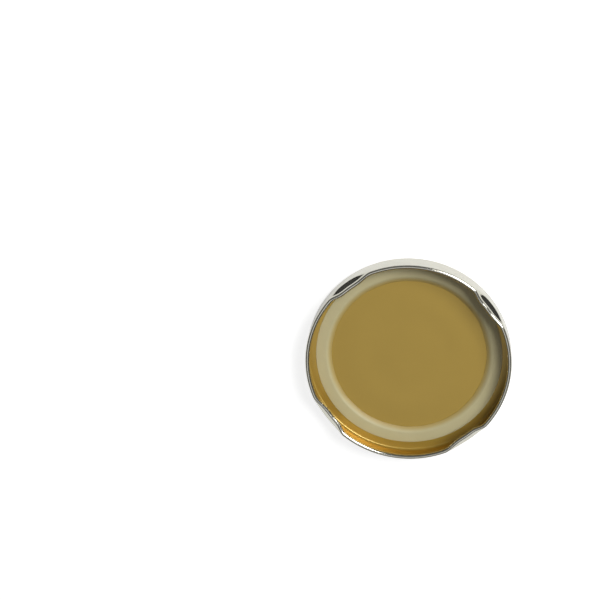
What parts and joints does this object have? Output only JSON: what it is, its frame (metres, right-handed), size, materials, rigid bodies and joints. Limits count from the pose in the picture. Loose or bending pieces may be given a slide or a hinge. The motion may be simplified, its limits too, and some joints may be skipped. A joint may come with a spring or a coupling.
{
  "type": "twist-off lid",
  "caption": "Metal twist-off jar lid with a rolled edge, pressed lugs, a raised bead and a cured sealing ring.",
  "frame": {"origin": "on the lid's axis, in the plane that the crown's bead rests on", "axes": "+Z along the lid's axis, out of the mouth; +X and +Y midway between neighbouring lugs"},
  "size_m": [0.066, 0.066, 0.0096],
  "materials": {
    "tinplate": "satin",
    "gold_lacquer": "gloss",
    "sealing_compound": "matte"
  },
  "bodies": {
    "root": {"lid_shell": "tinplate", "sealing_ring": "sealing_compound"}
  },
  "joints": []
}
